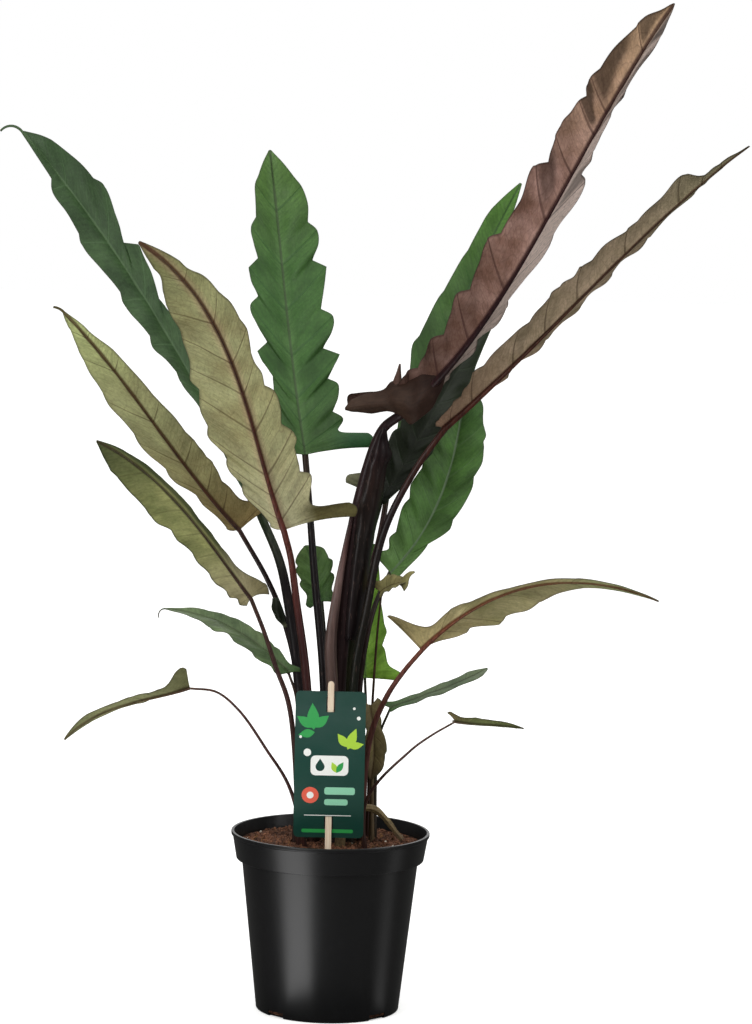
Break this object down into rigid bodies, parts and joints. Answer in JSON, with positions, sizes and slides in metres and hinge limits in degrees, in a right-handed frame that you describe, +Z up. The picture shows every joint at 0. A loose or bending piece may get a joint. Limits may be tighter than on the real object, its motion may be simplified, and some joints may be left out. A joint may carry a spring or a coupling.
{
  "type": "potted alocasia lauterbachiana",
  "caption": "Potted aroid with long, upright, wavy-edged leaves on slender dark stalks, in a black nursery pot of soil with a care card on a wooden stick.",
  "frame": {"origin": "centre of the pot's flat underside, on the floor", "axes": "+Z up, -Y to the front where the care card faces, +X to the viewer's right"},
  "size_m": [0.6453, 0.3848, 0.8633],
  "materials": {
    "leaf_deep_green": "satin, dark green upper side of a leaf",
    "leaf_green": "satin, mid green upper side of a leaf",
    "leaf_olive": "matte, olive underside of a leaf",
    "leaf_bronze": "matte, bronze-olive underside of a leaf",
    "leaf_purple": "matte, purple-brown underside of a leaf",
    "stalk_dark": "satin, nearly black stalk",
    "stalk_red": "satin, red-brown stalk",
    "stalk_pale": "dull, drying stalk",
    "pot": "satin black moulded polypropylene",
    "soil": "crumbly brown peat-based potting soil",
    "card": "printed plastic sheet, dark green",
    "stick": "plain pale wood"
  },
  "bodies": {
    "root": {"nursery_pot": "pot", "potting_soil": "soil", "care_card": "card", "card_stick": "stick", "leaf_01_stalk": "stalk_dark", "leaf_01_blade": "leaf_deep_green", "leaf_02_stalk": "stalk_red", "leaf_02_blade": "leaf_bronze", "leaf_03_stalk": "stalk_dark", "leaf_03_blade": "leaf_olive", "leaf_04_stalk": "stalk_red", "leaf_04_blade": "leaf_olive", "leaf_05_stalk": "stalk_dark", "leaf_05_blade": "leaf_deep_green", "leaf_06_stalk": "stalk_red", "leaf_06_blade": "leaf_olive", "leaf_07_stalk": "stalk_dark", "leaf_07_blade": "leaf_green", "leaf_08_stalk": "stalk_dark", "leaf_08_blade": "leaf_purple", "leaf_09_stalk": "stalk_red", "leaf_09_blade": "leaf_green", "leaf_10_stalk": "stalk_dark", "leaf_10_blade": "leaf_bronze", "leaf_11_stalk": "stalk_dark", "leaf_11_blade": "leaf_deep_green", "leaf_12_stalk": "stalk_dark", "leaf_12_blade": "leaf_green", "leaf_13_stalk": "stalk_red", "leaf_13_blade": "leaf_bronze", "leaf_14_stalk": "stalk_dark", "leaf_14_blade": "leaf_green", "leaf_15_stalk": "stalk_dark", "leaf_15_blade": "leaf_green", "leaf_16_stalk": "stalk_red", "leaf_16_blade": "leaf_bronze", "leaf_17_stalk": "stalk_dark", "leaf_17_blade": "leaf_deep_green", "leaf_18_stalk": "stalk_red", "leaf_18_blade": "leaf_olive", "leaf_19_stalk": "stalk_pale", "leaf_19_blade": "leaf_bronze", "spent_stalk": "stalk_pale"}
  },
  "joints": []
}
